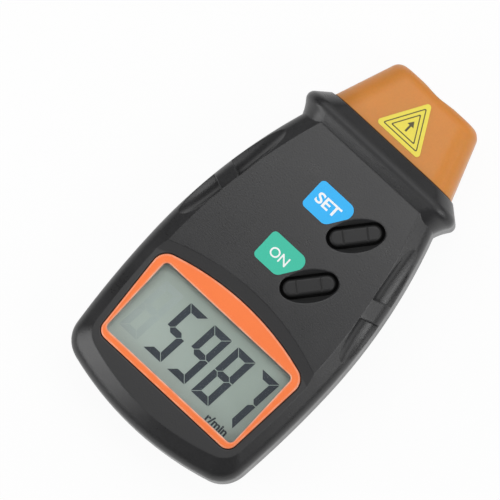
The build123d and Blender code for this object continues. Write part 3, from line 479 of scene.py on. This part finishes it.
# Words beside the keys and the unit on the display
def add_words(name, words, place, size, width, bold, material):
    """Flat words in the plain built-in face, centred on a place and set to a width."""
    curve = bpy.data.curves.new(name, "FONT")
    curve.body = words
    curve.size = size * MM
    curve.align_x = "CENTER"
    curve.align_y = "CENTER"
    curve.extrude = PRINT_THICKNESS * MM
    curve.offset = bold * MM
    curve.materials.append(material)
    piece = add_object(name, curve)
    piece.location = Vector((place[0], place[1] - END_DISTANCE, place[2])) * MM
    bpy.context.view_layer.update()
    piece.scale = (width * MM / piece.dimensions.x, 1, 1)
    print_on_housing(piece)


pad_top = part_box("mem_pad")[1][2] / MM
add_words("upper_key_words", "SET", (-1.6, 85.4, pad_top), size=4.6, width=8.4, bold=0.10,
          material=print_white)
add_words("lower_key_words", "ON", (-1.8, 65.0, pad_top), size=4.2, width=6.4, bold=0.04,
          material=print_white)
add_words("display_unit", "r/min", (17.85, 17.15, glass_top), size=3.3, width=7.7, bold=0.12,
          material=segment_dark)


# Triangle on the nose: two thin lines that follow its edge, and a plain arrow to the nose end
TRIANGLE_HALF_WIDTH = 8.65
TRIANGLE_CORNER = 1.0
CORNER_LENGTH = 1.05  # by which the round corner shortens the triangle, as a share of its radius
CORNER_STEPS = 5
LINE_INSETS = (1.15, 2.35)
LINE_WIDTH = 0.32
OUTER_CORNER_LEAST = 0.3
INNER_CORNER_LEAST = 0.2
ARROW = ((-0.32, -1.9), (0.32, -1.9), (0.32, 0.3), (1.15, 0.3), (0, 2.0), (-1.15, 0.3),
         (-0.32, 0.3))
ARROW_PLACE = 0.36  # as a share of the triangle's height
SAME_PLANE = 0.02


def label_frame():
    """Plane on top of the triangle, with its origin at the middle of the base, and its height."""
    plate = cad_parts["pointer_label"]
    points = [plate.matrix_world @ v.co for v in plate.data.vertices]
    top = max(plate.data.polygons, key=lambda face: face.normal.z)
    normal = (plate.matrix_world.to_3x3() @ top.normal).normalized()
    highest = max(point.dot(normal) for point in points)
    along = Vector((1, 0, 0)).cross(normal) * -1
    reach = [point.dot(along) for point in points if highest - point.dot(normal) < SAME_PLANE * MM]
    origin = along * min(reach) + normal * highest
    turn = Matrix((Vector((1, 0, 0)), along, normal)).transposed().to_4x4()
    return Matrix.Translation(origin) @ turn, (max(reach) - min(reach)) / MM


def rounded_triangle(half_width, height, inset, radius):
    """Corner arcs of an upright triangle whose base lies on the X axis, drawn in by an inset."""
    side = Vector((half_width, height)).length
    inner_radius = half_width * height / (half_width + side)
    middle = Vector((0, inner_radius))
    corners = [middle + (Vector(corner) - middle) * (1 - inset / inner_radius)
               for corner in ((half_width, 0), (0, height), (-half_width, 0))]
    loop = []
    for i, corner in enumerate(corners):
        before = (corners[i - 1] - corner).normalized()
        after = (corners[(i + 1) % 3] - corner).normalized()
        half_angle = before.angle(after) / 2
        centre = corner + (before + after).normalized() * radius / sin(half_angle)
        start = Vector((before.y, -before.x))
        if start.dot(after) > 0:
            start = -start
        for step in range(CORNER_STEPS + 1):
            angle = (pi - 2 * half_angle) * step / CORNER_STEPS
            loop.append(centre + Matrix.Rotation(angle, 2) @ start * radius)
    return loop


label_plane, label_height = label_frame()
triangle_height = label_height + TRIANGLE_CORNER * CORNER_LENGTH
label_lines = []
for inset in LINE_INSETS:
    corner_radius = TRIANGLE_CORNER - inset / 2
    outer = rounded_triangle(TRIANGLE_HALF_WIDTH, triangle_height, inset,
                             max(OUTER_CORNER_LEAST, corner_radius))
    inner = rounded_triangle(TRIANGLE_HALF_WIDTH, triangle_height, inset + LINE_WIDTH,
                             max(INNER_CORNER_LEAST, corner_radius - LINE_WIDTH))
    for i in range(len(outer)):
        j = (i + 1) % len(outer)
        label_lines.append([tuple(point) for point in (outer[i], outer[j], inner[j], inner[i])])
arrow = [(x, y + triangle_height * ARROW_PLACE) for x, y in ARROW]
add_shapes("label_lines", label_lines, label_plane, line_dark)
add_shapes("label_arrow", [arrow], label_plane, line_dark)


# Floor: white to the camera and in reflections, with a faint shadow under the object
FLOOR_REACH = 3.0
FLOOR_DROP = 0.00005  # under the case, so that the two faces don't share one plane
FLOOR_GREY = 0.85
FLOOR_ROUGHNESS = 0.9
FLOOR_SHINE = 0.94


def add_floor():
    mesh = bpy.data.meshes.new("floor")
    corners = [(x * FLOOR_REACH, y * FLOOR_REACH, -FLOOR_DROP)
               for x, y in ((-1, -1), (1, -1), (1, 1), (-1, 1))]
    mesh.from_pydata(corners, [], [(0, 1, 2, 3)])
    material, tree, shader = new_material("floor_white")
    shader.inputs["Base Color"].default_value = (FLOOR_GREY, FLOOR_GREY, FLOOR_GREY, 1)
    shader.inputs["Roughness"].default_value = FLOOR_ROUGHNESS
    path = tree.nodes.new("ShaderNodeLightPath")
    seen = math_node(tree, "MAXIMUM", path.outputs["Is Camera Ray"], path.outputs["Is Glossy Ray"])
    seen = math_node(tree, "MAXIMUM", seen, path.outputs["Is Transmission Ray"])
    glow = tree.nodes.new("ShaderNodeEmission")
    glow.inputs["Color"].default_value = (1, 1, 1, 1)
    glow.inputs["Strength"].default_value = 1.0
    mix_shaders(tree, math_node(tree, "MULTIPLY", seen, FLOOR_SHINE), shader, glow)
    mesh.materials.append(material)
    add_object("floor", mesh)


add_floor()
add_lights()
add_camera()
bpy.context.scene.view_settings.view_transform = "Standard"
